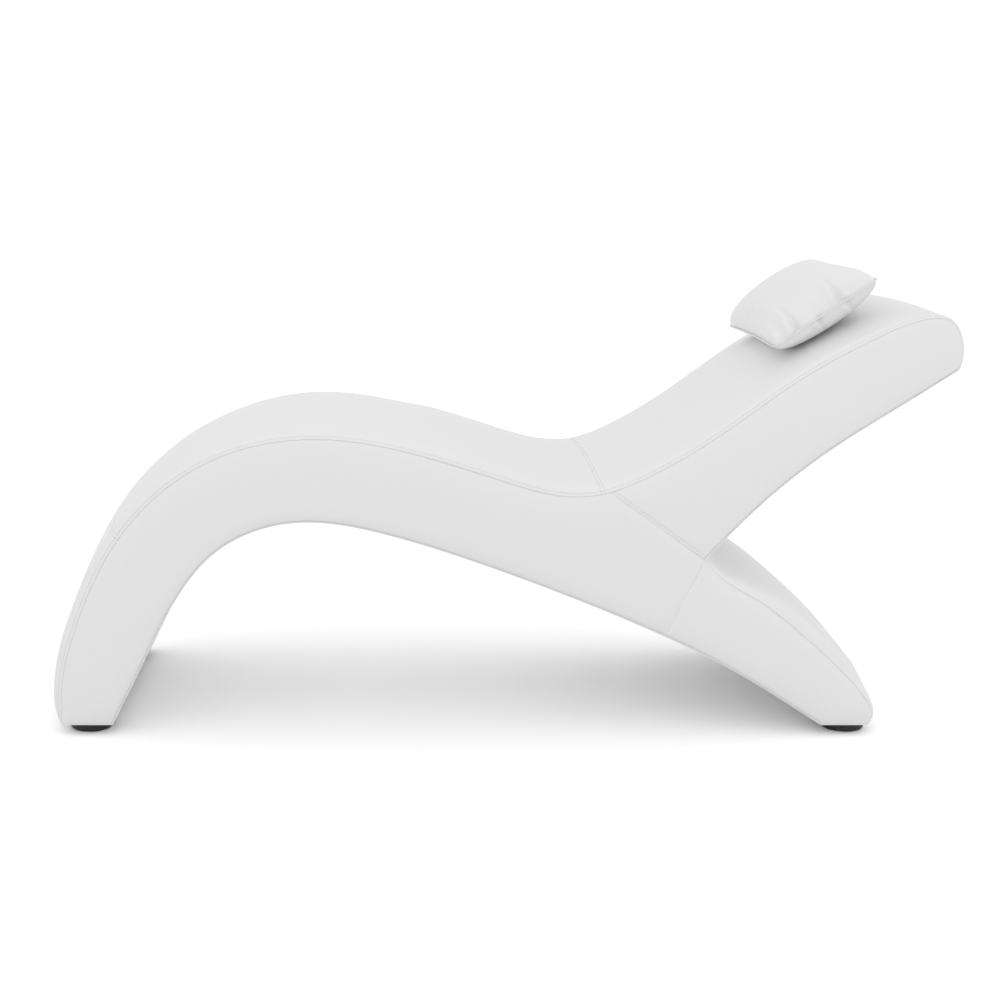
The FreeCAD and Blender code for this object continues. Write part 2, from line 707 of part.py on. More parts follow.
outer_size = [dim("pillow_length"), dim("pillow_width")]
inner_size = [size - 2 * dim("pillow_seam") for size in outer_size]
top, belly, skin = dim("pillow_top"), dim("pillow_belly"), dim("pillow_cover")
halves = []
for height in (top - skin, skin - belly):
    columns = half_pillow(*inner_size, height)
    middle = Part.makePolygon(seam_loop(columns)[::1 if height < 0 else -1])
    halves.append(closed(facets(columns, height > 0) + [Part.Face(middle)]))
pillow_parts = {"pillow_filling": halves[0].fuse(halves[1])}
for label, height, lining in (("pillow_cover_top", top, top - skin),
                              ("pillow_cover_bottom", -belly, skin - belly)):
    outside, inside = half_pillow(*outer_size, height), half_pillow(*inner_size, lining)
    pillow_parts[label] = closed(facets(outside, height > 0) + facets(inside, height < 0)
                                 + seam_ring(outside, inside, height < 0))
resting = pillow_place()
for label, shape in pillow_parts.items():
    feature(label, shape).Placement = resting

# ---- checks and files ------------------------------------------------------------------------------

doc.recompute()
for thing in doc.Objects:
    if "Invalid" in thing.State or "Error" in thing.State:
        raise RuntimeError(f"{thing.Label} did not build: {thing.State}")
os.makedirs("parts", exist_ok=True)
for label, thing in nodes.items():
    shape = thing.Shape
    if any(isinstance(face.Surface, Part.SurfaceOfExtrusion) for face in shape.Faces):
        shape = shape.toNurbs()  # a spline face meshes with far fewer triangles
    if shape.isNull() or not shape.isValid():
        raise RuntimeError(f"{label} has no valid shape")
    shape.exportStep(f"parts/{label}.step")
print(len(nodes), "sub-parts written")
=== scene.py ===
"""Relaxation lounger: sewn covers, seams, stitching, head pillow and studio stage."""
import math

import bpy
import numpy as np
from bpy.props import FloatProperty, FloatVectorProperty, PointerProperty
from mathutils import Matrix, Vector
from mathutils.bvhtree import BVHTree


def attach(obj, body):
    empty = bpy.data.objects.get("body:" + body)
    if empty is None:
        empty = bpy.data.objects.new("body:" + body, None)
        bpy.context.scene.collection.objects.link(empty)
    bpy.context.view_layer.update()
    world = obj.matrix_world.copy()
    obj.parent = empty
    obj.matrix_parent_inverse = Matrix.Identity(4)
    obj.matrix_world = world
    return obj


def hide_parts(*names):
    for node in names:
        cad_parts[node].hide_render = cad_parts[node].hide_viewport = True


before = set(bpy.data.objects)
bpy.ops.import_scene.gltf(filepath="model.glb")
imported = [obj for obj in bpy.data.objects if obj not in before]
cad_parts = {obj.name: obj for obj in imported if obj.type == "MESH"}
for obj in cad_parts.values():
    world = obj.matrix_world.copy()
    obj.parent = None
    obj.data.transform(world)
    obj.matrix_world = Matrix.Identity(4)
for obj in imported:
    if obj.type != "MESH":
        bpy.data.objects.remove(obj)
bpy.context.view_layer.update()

bl_info = {
    "name": "Relaxation lounger",
    "version": (1, 0, 0),
    "blender": (4, 5, 0),
    "location": "3D View > Sidebar > Lounger",
    "description": "Dresses the frame of an upholstered relaxation lounger and lights it",
    "category": "Object",
}

MM = 0.001


def linear(code):
    """A colour written as an sRGB hex code, as linear red, green, blue and alpha."""
    parts = [int(code[i:i + 2], 16) / 255 for i in (1, 3, 5)]
    return tuple(c / 12.92 if c <= 0.04045 else ((c + 0.055) / 1.055) ** 2.4
                 for c in parts) + (1.0,)


def size(name, description, default, unit="LENGTH"):
    """A size that a user may change, in metres unless it is a plain number."""
    return FloatProperty(name=name, description=description, default=default, unit=unit,
                         precision=5)


def colour(name, description, code):
    """A colour that a user may change, kept as linear values."""
    return FloatVectorProperty(name=name, description=description, subtype="COLOR", size=3,
                               min=0.0, max=1.0, default=linear(code)[:3])


class LoungerSizes(bpy.types.PropertyGroup):
    """Sizes of the sewing and of the padding."""
    round_over: size("Edge rounding", "Width over which a deck cover rounds down to its seam",
                     22 * MM)
    hem: size("Hem", "Distance of the topstitch from the main seam", 7.5 * MM)
    lap: size("Lap", "Distance between the two lines of a cross seam", 7 * MM)
    lip: size("Lip", "Distance of the stitch from the lower edges of a side cover", 3.4 * MM)
    tuck: size("Tuck", "How far a cover is drawn in at its seam", 0.9 * MM)
    groove: size("Groove", "How deep a row of stitches sinks into a cover", 0.45 * MM)
    puff: size("Side padding", "How far a side cover swells between its seams", 8.0 * MM)
    pitch: size("Stitch pitch", "Distance from stitch to stitch", 5.4 * MM)
    stitch: size("Stitch length", "Length of thread that shows in a stitch", 3.1 * MM)
    thread: size("Thread", "Thickness of the sewing thread", 0.95 * MM)
    welt: size("Pillow welt", "Radius of the folded edge around the pillow", 1.5 * MM)
    piping: size("Edge piping", "Radius of the folded lower edge of a side cover", 1.2 * MM)
    head_seam: size("Head seam", "How far the head cover's seam sits above its rib", 33 * MM)
    belly: size("Pillow belly", "How far the filling presses down past the pillow's rest",
                14 * MM)
    cell: size("Pillow cloth cell", "Cell size of the pillow cloth while it is inflated",
               5.0 * MM)
    pressure: size("Pillow pressure", "Pressure that fills the pillow", 4.0, "NONE")


class LoungerColours(bpy.types.PropertyGroup):
    """Colours of the finishes."""
    upholstery: colour("Upholstery", "White coated fabric of the covers", "#EAEAEA")
    pillow: colour("Pillow", "White coated fabric of the pillow", "#EAEAEA")
    thread: colour("Thread", "Sewing thread", "#B2B2B2")
    plywood: colour("Plywood", "Birch plywood of ribs, rails and skins", "#D9BE93")
    foam: colour("Foam", "Polyurethane foam", "#EDE6C8")
    glide: colour("Glide", "Moulded black plastic of the feet", "#0B0B0C")
    zinc: colour("Zinc", "Zinc plated steel", "#B9BDC1")
    floor: colour("Floor", "Studio floor", "#FFFFFF")


def sizes():
    return bpy.context.scene.lounger_sizes


def colours():
    return bpy.context.scene.lounger_colours


# ---- materials ----

def add(tree, kind, inputs=None, **settings):
    """One node with its settings; each input is a value or a socket to link."""
    node = tree.nodes.new(kind)
    for name, value in settings.items():
        setattr(node, name, value)
    for name, value in (inputs or {}).items():
        if isinstance(value, bpy.types.NodeSocket):
            tree.links.new(value, node.inputs[name])
        else:
            node.inputs[name].default_value = value
    return node


def fresh_tree(owner):
    """The emptied node tree of a material or a world."""
    owner.use_nodes = True
    owner.node_tree.nodes.clear()
    return owner.node_tree


def material(name, base, mottle, grains, roughness, wear, **shader):
    """A finish from a base colour, a mottle size, bump grains and a roughness.

    Each grain is (size, depth, detail): a size is that of one bump of the pattern. Wear is
    how far the colour varies either way.
    """
    gloss_spread = 0.05
    look = bpy.data.materials.new(name)
    tree = fresh_tree(look)
    spot = add(tree, "ShaderNodeTexCoord").outputs["Object"]
    cloud = add(tree, "ShaderNodeTexNoise",
                {"Vector": spot, "Scale": 1 / mottle, "Detail": 4.0, "Roughness": 0.55})
    light = [min(1.0, c * (1 + wear)) for c in base[:3]] + [1.0]
    dark = [c * (1 - wear) for c in base[:3]] + [1.0]
    tone = add(tree, "ShaderNodeMixRGB",
               {"Fac": cloud.outputs["Fac"], "Color1": dark, "Color2": light})
    gloss = add(tree, "ShaderNodeMapRange",
                {"Value": cloud.outputs["Fac"], "To Min": roughness - gloss_spread,
                 "To Max": roughness + gloss_spread})
    normal = None
    for grain, depth, detail in grains:
        pattern = add(tree, "ShaderNodeTexNoise",
                      {"Vector": spot, "Scale": 1 / grain, "Detail": detail})
        bump = add(tree, "ShaderNodeBump",
                   {"Height": pattern.outputs["Fac"], "Distance": depth, "Strength": 1.0})
        if normal:
            tree.links.new(normal, bump.inputs["Normal"])
        normal = bump.outputs["Normal"]
    surface = add(tree, "ShaderNodeBsdfPrincipled",
                  {"Base Color": tone.outputs[0], "Roughness": gloss.outputs[0],
                   "Normal": normal, **shader})
    add(tree, "ShaderNodeOutputMaterial", {"Surface": surface.outputs[0]})
    return look


PEBBLE = (2.2 * MM, 0.05 * MM, 2.0)      # about 1.5 mm in truth, drawn larger so that it shows
FABRIC = {"IOR": 1.5, "Specular IOR Level": 0.3}
# By look: name, colour, mottle size, grains, roughness, wear and other shader inputs.
LOOKS = {
    # Polyurethane coated fabric: matt, embossed, over slightly uneven padding.
    "coated_fabric": ("white_pu_leather", "upholstery", 0.35,
                      [(60 * MM, 0.5 * MM, 1.0), PEBBLE], 0.5, 0.006, FABRIC),
    "pillow_fabric": ("white_pu_leather_soft", "pillow", 0.2,
                      [(45 * MM, 0.5 * MM, 1.0), PEBBLE], 0.45, 0.006, FABRIC),
    # Twisted polyester sewing thread: matt, with a lay of about 0.5 mm.
    "thread": ("polyester_thread", "thread", 0.02,
               [(0.5 * MM, 0.06 * MM, 0.0)], 0.7, 0.05, {}),
    # Rotary cut birch plywood, sanded: soft grain streaks of 2 to 3 mm.
    "plywood": ("birch_plywood", "plywood", 0.04,
                [(2.5 * MM, 0.1 * MM, 3.0)], 0.6, 0.08, {}),
    # Open cell polyurethane foam: pores of about 1 mm.
    "foam": ("polyurethane_foam", "foam", 0.05, [(1.0 * MM, 0.4 * MM, 2.0)], 0.9, 0.04, {}),
    # Injection moulded polyamide with a fine spark eroded surface.
    "glide": ("moulded_black_polyamide", "glide", 0.03,
              [(0.8 * MM, 0.05 * MM, 1.0)], 0.5, 0.1, {}),
    # Zinc plated steel: bright, with faint drawing marks.
    "zinc": ("zinc_plated_steel", "zinc", 0.01,
             [(0.6 * MM, 0.02 * MM, 1.0)], 0.35, 0.05, {"Metallic": 1.0}),
}
FINISHES = {}


def finish(name):
    """A finish by name, made the first time it is asked for."""
    if name not in FINISHES:
        title, shade, mottle, grains, roughness, wear, shader = LOOKS[name]
        FINISHES[name] = material(title, getattr(colours(), shade), mottle, grains,
                                  roughness, wear, **shader)
    return FINISHES[name]


# ---- lines of the side outline ----

class Line:
    """A smooth line through points, measured along its length in metres."""
    search_steps = 6000

    def __init__(self, points, closest=4 * MM):
        kept = [points[0]]
        for spot in points[1:-1]:
            if np.linalg.norm(spot - kept[-1]) > closest:
                kept.append(spot)
        if len(kept) > 2 and np.linalg.norm(points[-1] - kept[-1]) < closest / 2:
            kept.pop()
        self.knots = np.array(kept + [points[-1]], float)
        steps = np.linalg.norm(np.diff(self.knots, axis=0), axis=1)
        self.places = np.concatenate([[0.0], np.cumsum(steps)])
        self.length = self.places[-1]
        count = len(self.knots)
        matrix, right = np.eye(count), np.zeros_like(self.knots)
        for i in range(1, count - 1):
            before, after = steps[i - 1], steps[i]
            matrix[i, i - 1:i + 2] = before, 2 * (before + after), after
            right[i] = 6 * ((self.knots[i + 1] - self.knots[i]) / after
                            - (self.knots[i] - self.knots[i - 1]) / before)
        self.bends = np.linalg.solve(matrix, right)

    def _cell(self, place):
        place = np.asarray(place, float)
        i = np.clip(np.searchsorted(self.places, place, "right") - 1, 0, len(self.knots) - 2)
        step = (self.places[i + 1] - self.places[i])[..., None]
        b = (place - self.places[i])[..., None] / step
        return i, step, 1 - b, b

    def at(self, place):
        """Points at distances along the line."""
        i, step, a, b = self._cell(place)
        return (a * self.knots[i] + b * self.knots[i + 1]
                + ((a ** 3 - a) * self.bends[i] + (b ** 3 - b) * self.bends[i + 1])
                * step ** 2 / 6)

    def along(self, place):
        """Directions of the line at distances along it."""
        i, step, a, b = self._cell(place)
        way = ((self.knots[i + 1] - self.knots[i]) / step
               + ((3 * b ** 2 - 1) * self.bends[i + 1] - (3 * a ** 2 - 1) * self.bends[i])
               * step / 6)
        return way / np.linalg.norm(way, axis=-1, keepdims=True)

    def outward(self, place):
        """Directions square to the line, on its left hand."""
        way = self.along(place)
        return np.stack([-way[..., 1], way[..., 0]], axis=-1)

    def nearest(self, spot):
        """The distance along the line of its point nearest to a spot."""
        places = np.linspace(0, self.length, self.search_steps)
        return places[np.argmin(np.linalg.norm(self.at(places) - spot, axis=1))]


def coords(mesh):
    """A mesh's points, as rows of X, Y and Z."""
    flat = np.empty(len(mesh.vertices) * 3)
    mesh.vertices.foreach_get("co", flat)
    return flat.reshape(-1, 3)


def triangles(*names):
    """Corner points and corner numbers of the triangles of some nodes."""
    points, faces, count = [], [], 0
    for name in names:
        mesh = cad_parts[name].data
        index = np.empty(len(mesh.loops), int)
        mesh.loops.foreach_get("vertex_index", index)
        points.append(coords(mesh))
        faces.append(index.reshape(-1, 3) + count)
        count += len(mesh.vertices)
    return np.concatenate(points), np.concatenate(faces)


def ray_tree(points, faces):
    """A tree that rays can be cast at, from points and faces."""
    return BVHTree.FromPolygons([tuple(p) for p in points], [tuple(f) for f in faces])


GRAIN = 1e5                         # spots per metre that outlines tell apart
CORNER_TURN = math.radians(25)      # an outline that turns more than this has a corner


def panel_runs(name):
    """The edges of a side cover's outer face, from corner to corner, as X and Z."""
    points, faces = triangles(name)
    outer = np.abs(points[:, 1]).max()
    faces = faces[(np.abs(points[faces][:, :, 1]) > outer - 1 / GRAIN).all(axis=1)]
    keys = [tuple(k) for k in np.round(points[:, [0, 2]] * GRAIN).astype(int)]
    edges = {(keys[f[i - 1]], keys[f[i]]) for f in faces for i in range(3)}
    following = {a: b for a, b in edges if (b, a) not in edges}
    start = min(following)
    loop = [start]
    while following[loop[-1]] != start:
        loop.append(following[loop[-1]])
    loop = np.array(loop) / GRAIN
    before, after = loop - np.roll(loop, 1, axis=0), np.roll(loop, -1, axis=0) - loop
    turn = np.abs(np.angle((after[:, 0] + 1j * after[:, 1])
                           / (before[:, 0] + 1j * before[:, 1])))
    corners = np.flatnonzero(turn > CORNER_TURN)
    loop = np.roll(loop, -corners[0], axis=0)
    corners = list(corners - corners[0]) + [len(loop)]
    loop = np.concatenate([loop, loop[:1]])
    return [loop[a:b + 1] for a, b in zip(corners, corners[1:])]


def corner_key(spot):
    """A corner's name among the panels that share it."""
    return tuple(np.round(np.asarray(spot) * 1e4).astype(int))


def run(panel, start, end):
    """A panel's edge between two of its corners, in that direction."""
    wanted = corner_key(start), corner_key(end)
    for edge in panel:
        for way in (edge, edge[::-1]):
            if (corner_key(way[0]), corner_key(way[-1])) == wanted:
                return way
    raise RuntimeError(f"no edge from {start} to {end}")


def join(*runs):
    """Edges that follow one another, as one row of points."""
    return np.concatenate([runs[0]] + [r[1:] for r in runs[1:]])


FRONT, BACK, REAR = (panel_runs(f"side_cover_near_{part}") for part in ("front", "back", "rear"))
corners = [{corner_key(edge[0]): edge[0] for edge in panel} for panel in (FRONT, BACK, REAR)]
shared = set(corners[0]) & set(corners[1])
NOTCH_KEY = (shared & set(corners[2])).pop()
NOTCH = corners[0][NOTCH_KEY]
WAIST = corners[0][(shared - {NOTCH_KEY}).pop()]
UNDER = corners[0][((set(corners[0]) & set(corners[2])) - {NOTCH_KEY}).pop()]
CHIN = max(corners[1].values(), key=lambda spot: spot[0])
TOE = min(corners[0].values(), key=lambda spot: spot[0])
ARCH_FRONT = min((spot for spot in corners[0].values() if spot is not TOE),
                 key=lambda spot: spot[0])
HEEL = max(corners[2].values(), key=lambda spot: spot[0])
ARCH_REAR = min(corners[2].values(), key=lambda spot: spot[1] + (spot is HEEL))

DECK = Line(join(run(FRONT, TOE, WAIST), run(BACK, WAIST, CHIN)))
UNDERSIDE = Line(run(BACK, CHIN, NOTCH))
LEG = Line(run(REAR, NOTCH, HEEL))
ARCH = Line(join(run(REAR, ARCH_REAR, UNDER), run(FRONT, UNDER, ARCH_FRONT)))
FLOOR = TOE[1]
HALF = float(np.abs(triangles("side_cover_near_front")[0][:, 1]).max())
INNER = float(np.abs(triangles("arch_cover")[0][:, 1]).max())


def seam_place(name, line):
    """Where along a line the head side of a cover node ends, by its sewn edge."""
    points, _ = triangles(name)
    sewn = points[np.abs(points[:, 1]) > HALF - 1 / GRAIN][:, [0, 2]]
    return max(line.nearest(spot) for spot in np.unique(np.round(sewn, 4), axis=0))


# ---- meshes ----

def added(name, data):
    """An object of the scene with some data."""
    thing = bpy.data.objects.new(name, data)
    bpy.context.scene.collection.objects.link(thing)
    return thing


def piece(name, points, faces, look, sharp=50):
    """An object from points and faces, smooth but for edges over an angle in degrees."""
    mesh = bpy.data.meshes.new(name)
    mesh.from_pydata([tuple(p) for p in points], [], [tuple(f) for f in faces])
    mesh.validate()
    mesh.polygons.foreach_set("use_smooth", [True] * len(mesh.polygons))
    mesh.set_sharp_from_angle(angle=math.radians(sharp))
    mesh.materials.append(finish(look))
    return added(name, mesh)


def settle(thing):
    """Turns what an object's modifiers make into its mesh."""
    mesh = bpy.data.meshes.new_from_object(
        thing.evaluated_get(bpy.context.evaluated_depsgraph_get()))
    thing.modifiers.clear()
    thing.data = mesh
    return mesh


def shell(top, bottom):
    """Points and faces of a closed shell between two grids of the same layout.

    The top grid's rows and columns turn left about the way it faces.
    """
    rows, columns = top.shape[:2]
    points = np.concatenate([top.reshape(-1, 3), bottom.reshape(-1, 3)])
    index = np.arange(rows * columns).reshape(rows, columns)
    under = index + rows * columns
    faces = []
    for i in range(rows - 1):
        for j in range(columns - 1):
            faces.append((index[i, j], index[i + 1, j], index[i + 1, j + 1], index[i, j + 1]))
            faces.append((under[i, j], under[i, j + 1], under[i + 1, j + 1], under[i + 1, j]))
    for a, b in zip(index, index[1:]):
        c, d = a + rows * columns, b + rows * columns
        faces += [(a[0], c[0], d[0], b[0]), (a[-1], b[-1], d[-1], c[-1])]
    for a, b in zip(index.T, index.T[1:]):
        c, d = a + rows * columns, b + rows * columns
        faces += [(a[0], b[0], d[0], c[0]), (a[-1], c[-1], d[-1], b[-1])]
    return points, faces


def spaced(length, step, near):
    """Places from 0 to a length, with given distances kept near either end."""
    far = length - near[::-1]
    middle = np.linspace(near[-1], far[0], max(2, round((far[0] - near[-1]) / step)) + 1)
    return np.concatenate([near[:-1], middle, far[1:]])


def dent(distance, depth, width):
    """A rounded groove, by distance from its middle."""
    return depth * np.exp(-(np.asarray(distance) / width) ** 2)


def drawn_in(distance, depth, reach):
    """How far a cover is drawn in at a seam, by distance from the seam."""
    return depth * np.clip(1 - np.asarray(distance) / reach, 0, 1) ** 2


def swell(spots, amount):
    """Slow unevenness of the padding, from a few long waves."""
    wave = 0.11
    x, z = spots[..., 0], spots[..., 1]
    return amount * (np.sin(x / wave + 1.3 * np.sin(z / wave * 0.7))
                     + np.sin(z / wave * 1.4 + 0.8 * np.sin(x / wave * 0.6 + 2)))


ROWS = {}      # stitched rows by body: lists of points
PIPES = {}     # piped edges by body: lists of points, and whether they close


def sew(body, points):
    """Keeps a row of points for the stitching of a body."""
    ROWS.setdefault(body, []).append(np.asarray(points))


def stand(tree, line, places, y):
    """How far nodes stand out of a line's sewn edge at a distance across, by ray."""
    reach, below, window = 0.15, 0.02, 9
    heights = []
    for spot, out in zip(line.at(places), line.outward(places)):
        start = Vector((spot[0] + out[0] * reach, y, spot[1] + out[1] * reach))
        hit = tree.ray_cast(start, Vector((-out[0], 0, -out[1])), reach + below)[0]
        heights.append(reach - (hit - start).length if hit else np.nan)
    heights = np.array(heights)
    good = ~np.isnan(heights)
    heights = np.interp(places, places[good], heights[good])
    return np.convolve(np.pad(heights, window // 2, "edge"), np.ones(window) / window, "valid")


# How much fuller than its foam the deck's cover stands: distance from the toe, height.
FULLNESS = np.array([(0, 1.5), (0.10, 5), (0.18, 7), (0.34, 6.5), (0.45, 8), (0.53, 6.5),
                     (0.60, 4.5), (0.68, 0), (1.02, 0), (1.10, 5.5), (1.17, 7), (1.31, 7),
                     (1.38, 5.5), (1.45, 2), (1.52, 0)]) * (1, MM)
# The same for the rear leg's cover: distance from the notch, height.
LEG_FULLNESS = np.array([(0, 2), (0.05, 3), (0.12, 12), (0.18, 19), (0.24, 22.5), (0.33, 24),
                         (0.37, 19), (0.41, 10), (0.45, 4), (0.5, 0)]) * (1, MM)


class Padding:
    """Rise and crown of the padded covers over a line, read from the nodes."""
    stations = 260
    crown_shape = 1.3

    def __init__(self, line, *names, fuller, flatter=1.0):
        tree = ray_tree(*triangles(*names))
        self.line = line
        self.places = np.linspace(0, line.length, self.stations)
        flat = HALF - sizes().round_over
        self.rise = stand(tree, line, self.places, flat - 0.5 * MM)
        self.crown = (stand(tree, line, self.places, 0.0) - self.rise) * flatter
        self.rise += np.interp(self.places, *fuller.T)

    def profile(self, place):
        """Half a section at a place, at the hem's arcs and at shares of what is left.

        Gives the distances across, the heights, both parts of the outward directions and the
        arc of each point.
        """
        rise = np.interp(place, self.places, self.rise)
        crown = np.interp(place, self.places, self.crown)
        turn = sizes().round_over
        angle = np.linspace(0, math.pi / 2, 60)
        y = HALF - turn * (1 - np.cos(angle))
        h = rise * np.sin(angle)
        share = np.linspace(1, 0, 90)[1:]
        y = np.concatenate([y, (HALF - turn) * share])
        h = np.concatenate([h, rise + crown * (1 - share ** 2) ** self.crown_shape])
        arc = np.concatenate([[0], np.cumsum(np.hypot(np.diff(y), np.diff(h)))])
        hem_end = HEM_ARCS[-1]
        wanted = np.concatenate([HEM_ARCS, hem_end + (arc[-1] - hem_end) * FILL])
        way = np.stack([np.gradient(y, arc), np.gradient(h, arc)], axis=-1)
        across = np.interp(wanted, arc, y)
        height = np.interp(wanted, arc, h)
        ny, nh = np.interp(wanted, arc, way[:, 1]), -np.interp(wanted, arc, way[:, 0])
        norm = np.hypot(ny, nh)
        return across, height, ny / norm, nh / norm, wanted


# Arcs from the main seam, and shares of what is left, at which a deck cover has points.
HEM_ARCS = np.array([0, 0.5, 1.0, 1.6, 2.4, 3.4, 4.6, 5.8, 6.6, 7.1, 7.5, 7.9, 8.4, 9.4, 11,
                     13.5, 16.5, 20]) * MM
FILL = np.linspace(0, 1, 20)[1:]
# Distances from a cross seam at which a deck cover has a row of points.
SEAM_STEPS = np.array([0, 0.5, 1.0, 1.6, 2.4, 3.5, 5, 6, 6.5, 7, 7.5, 8, 9, 11, 14, 18, 23]) * MM
STITCH_DENT = 0.8 * MM      # half width of the groove along a row of stitches
MIRROR = (1, -1, 1)


def padded_cover(name, padding, first, last, ends, lap_at=None, stitched=True):
    """A crowned cover over a stretch of a line, with its hem, seams and flat back.

    Each end says over how much of its length the cover turns under, and how far its seam
    draws it in, 0 for none. A lap puts a second row of stitches beside one end's seam.
    """
    s, line = sizes(), padding.line
    length = last - first
    near = np.unique(np.append(SEAM_STEPS[np.abs(SEAM_STEPS - s.lap) > 0.3 * MM], s.lap))
    places = spaced(length, 7 * MM, near)
    top, bottom = [], []
    for local in places:
        place = first + local
        y, h, ny, nh, arc = padding.profile(place)
        relief = -drawn_in(arc, s.tuck, 2.0 * MM) \
            - dent(arc - s.hem, s.groove, STITCH_DENT) * stitched
        keep = 1.0
        for (reach, draw), gap in zip(ends, (local, length - local)):
            relief = relief - drawn_in(gap, s.tuck * 1.3 * draw, 2.2 * MM)
            if reach:
                turned = min(gap / reach, 1.0)
                keep *= math.sqrt(max(1 - (1 - turned) ** 2, 0.0))
        if lap_at is not None:
            gap = (local, length - local)[lap_at]
            relief = relief - dent(gap - s.lap, s.groove, STITCH_DENT) * np.clip(
                (arc - s.hem) / (3 * MM), 0, 1)
        spot, out = line.at(place), line.outward(place)
        lift = (h + relief * nh) * keep
        row = np.stack([spot[0] + out[0] * lift, y + relief * ny,
                        np.maximum(spot[1] + out[1] * lift, FLOOR)], axis=-1)
        top.append(np.concatenate([row * MIRROR, row[-2::-1]]))
        bottom.append(top[-1] * (0, 1, 0) + (spot[0], 0, spot[1]))
    top, bottom = np.array(top), np.array(bottom)
    bottom[:, 0], bottom[:, -1] = top[:, 0], top[:, -1]
    bottom[:, 0, 1] += 0.4 * MM
    bottom[:, -1, 1] -= 0.4 * MM
    column = int(np.argmin(np.abs(HEM_ARCS - s.hem)))
    for j in (column, top.shape[1] - 1 - column) if stitched else ():
        sew("lounger", top[3:-3, j])
    if lap_at is not None:
        i = int(np.argmin(np.abs(places - (s.lap, length - s.lap)[lap_at])))
        sew("lounger", top[i, column + 2:top.shape[1] - column - 2])
    points, faces = shell(top[::-1], bottom[::-1])
    return piece(name, points, faces, "coated_fabric")


# Distances from a cross seam or a foot's edge at which a side cover has a row of points.
NEAR = np.array([0, .6, 1.2, 2, 3, 4.5, 5.5, 6.2, 6.7, 7.2, 7.7, 8.5, 10, 12, 15, 20]) * MM


# Shares across a side cover: close together near both seams, where the relief is.
ACROSS = np.array([0, .002, .004, .007, .011, .016, .02, .024, .03, .04, .055, .075, .1, .14,
                   .19, .25, .32, .4, .5])
ACROSS = np.concatenate([ACROSS, 1 - ACROSS[:-1][::-1]])


def patch(low, high, start, end):
    """A grid of points of the side plane between four lines that meet at its corners.

    Low and high are each a line and the places where it starts and ends. Start and end are
    rows of points joined by straight edges.
    """
    length = (abs(low[2] - low[1]) + abs(high[2] - high[1])) / 2
    u = spaced(length, 9 * MM, NEAR) / length
    low, high = (line.at(first + (last - first) * u) for line, first, last in (low, high))
    start, end = (polyline(np.array(edge), ACROSS) for edge in (start, end))
    u = u[:, None, None]
    v = ACROSS[None, :, None]
    ruled = (1 - v) * low[:, None] + v * high[:, None]
    side = (1 - u) * start[None] + u * end[None]
    flat = ((1 - u) * (1 - v) * low[0] + u * (1 - v) * low[-1]
            + (1 - u) * v * high[0] + u * v * high[-1])
    return ruled + side - flat


def apart(grid, points, block=64):
    """Distance from each grid point to the nearest of a dense row of points."""
    flat = grid.reshape(-1, 2)
    best = np.full(len(flat), np.inf)
    for first in range(0, len(points), block):
        some = points[first:first + block]
        gap = np.linalg.norm(flat[:, None] - some[None], axis=-1).min(axis=1)
        best = np.minimum(best, gap)
    return best.reshape(grid.shape[:2])


def polyline(points, shares):
    """Points at shares of the length of a polyline."""
    steps = np.linalg.norm(np.diff(points, axis=0), axis=1)
    places = np.concatenate([[0], np.cumsum(steps)]) / steps.sum()
    if len(points) == 3:      # one row falls on the corner
        near = shares[np.argmin(np.abs(shares - places[1]))]
        shares = np.interp(shares, [0, near, 1], [0, places[1], 1])
    return np.stack([np.interp(shares, places, points[:, k]) for k in (0, 1)], axis=-1)


def side_cover(name, side, grid, sewn, lower, cross, laps):
    """A padded side cover on a grid, closed at the back.

    Sewn, lower and cross are dense rows of points of its edges: the main seam, the lower
    edges with their lip, and seams to its neighbours. Laps are rows of a second stitch line.
    """
    s = sizes()
    gap_sewn, gap_low, gap_cross = (apart(grid, rows) for rows in (sewn, lower, cross))
    # Over how much the padding rises from each kind of edge, and where it grows uneven.
    firm_seam, firm_edge, firm_cross, even = 24 * MM, 12 * MM, 9 * MM, 40 * MM
    out = s.puff * (1 - np.exp(-gap_sewn / firm_seam)) * (1 - np.exp(-gap_low / firm_edge))
    out *= 1 - 0.35 * np.exp(-gap_cross / firm_cross)
    out += swell(grid, 0.18 * MM) * np.clip(gap_sewn / even, 0, 1) \
        * np.clip(gap_low / even, 0, 1)
    out -= drawn_in(gap_sewn, s.tuck, 2.2 * MM) + drawn_in(gap_cross, s.tuck * 1.2, 2.0 * MM)
    out -= dent(gap_low, 1.8 * MM, 2.6 * MM)
    for row in laps:
        out -= dent(apart(grid, row), s.groove, STITCH_DENT)
    y = side * (HALF + out)
    top = np.stack([grid[..., 0], y, grid[..., 1]], axis=-1)
    back = np.stack([grid[..., 0], np.full(y.shape, side * (INNER + 0.3 * MM)), grid[..., 1]],
                    axis=-1)
    if side < 0:
        top, back = top[::-1], back[::-1]
    points, faces = shell(top, back)
    return piece(name, points, faces, "coated_fabric"), ray_tree(points, faces)


def dense(line, first=0.0, last=None):
    """Points 2 mm apart along a line."""
    last = line.length if last is None else last
    return line.at(np.linspace(first, last, max(2, int((last - first) / (2 * MM)))))


# ---- operators ----

class LOUNGER_OT_finishes(bpy.types.Operator):
    """Gives every carried-over node of the frame the finish of its stuff"""
    bl_idname = "lounger.finishes"
    bl_label = "Frame finishes"

    def execute(self, context):
        kinds = (("_glide_", "glide"), ("glide_bolts", "zinc"), ("threaded_inserts", "zinc"),
                 ("foam", "foam"), ("padding", "foam"), ("pillow_filling", "foam"),
                 ("pillow_cover", "pillow_fabric"), ("cover", "coated_fabric"))
        for name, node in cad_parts.items():
            look = next((look for word, look in kinds if word in name), "plywood")
            node.data.materials.clear()
            node.data.materials.append(finish(look))
        return {"FINISHED"}


